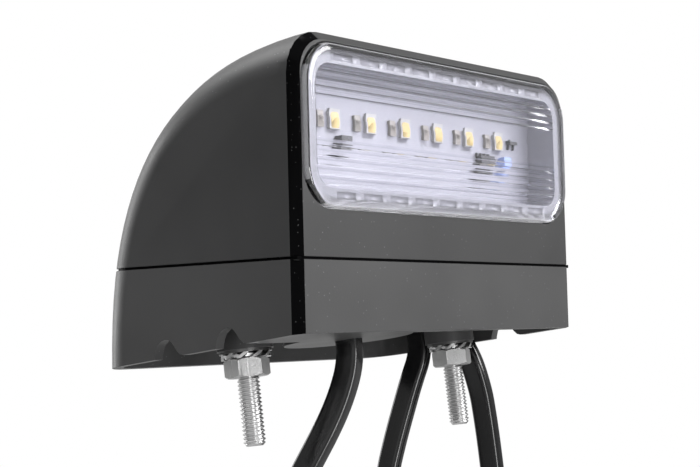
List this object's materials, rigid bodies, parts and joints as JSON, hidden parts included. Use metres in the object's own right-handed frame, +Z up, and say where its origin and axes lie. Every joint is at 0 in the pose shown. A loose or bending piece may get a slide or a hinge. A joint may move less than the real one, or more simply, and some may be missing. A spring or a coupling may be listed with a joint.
{
  "type": "number plate lamp",
  "caption": "Wedge-shaped number plate lamp with a rounded back, a reeded clear window over light diodes, two threaded studs and flat twin leads.",
  "frame": {"origin": "on the mounting plane (the base's lower rim), midway between the two studs", "axes": "+X along the window and the line of the studs, +Y to the rounded back, +Z up from the mounting plane; the window faces -Y and the studs point to -Z"},
  "size_m": [0.0845, 0.0563, 0.2768],
  "materials": {
    "housing": "fine satin",
    "seal": "matt",
    "lens": "clear polycarbonate, reeded inside",
    "tray": "white satin",
    "board": "white solder mask",
    "led_body": "satin",
    "phosphor": "silicone gloss",
    "resistor": "satin with bright contacts",
    "diode": "satin",
    "chip": "satin",
    "capacitor": "satin",
    "compound": "cast resin",
    "inner_wire": "satin insulation",
    "zinc": "bright zinc plating",
    "lead": "soft satin cord jacket",
    "lead_end": "stripped cores with tinned strands"
  },
  "bodies": {
    "root": {"housing_cover": "housing", "base_frame": "housing", "joint_seal": "seal", "lens": "lens", "reflector_tray": "tray", "circuit_board": "board", "led_1": "led_body", "led_2": "led_body", "led_3": "led_body", "led_4": "led_body", "led_5": "led_body", "led_6": "led_body", "phosphor_1": "phosphor", "phosphor_2": "phosphor", "phosphor_3": "phosphor", "phosphor_4": "phosphor", "phosphor_5": "phosphor", "phosphor_6": "phosphor", "resistor_1": "resistor", "resistor_2": "resistor", "resistor_3": "resistor", "resistor_4": "resistor", "resistor_5": "resistor", "resistor_6": "resistor", "input_diode": "diode", "driver_chip": "chip", "capacitor": "capacitor", "transistor": "chip", "sealing_compound": "compound", "inner_wires": "inner_wire", "mounting_studs": "zinc", "flat_washers": "zinc", "tooth_washers": "zinc", "hex_nuts": "zinc", "lead_entry_1": "lead", "lead_entry_2": "lead", "lead_entry_3": "lead", "lead_1": "lead", "lead_2": "lead", "lead_3": "lead", "lead_end_1": "lead_end", "lead_end_2": "lead_end", "lead_end_3": "lead_end"}
  },
  "joints": []
}
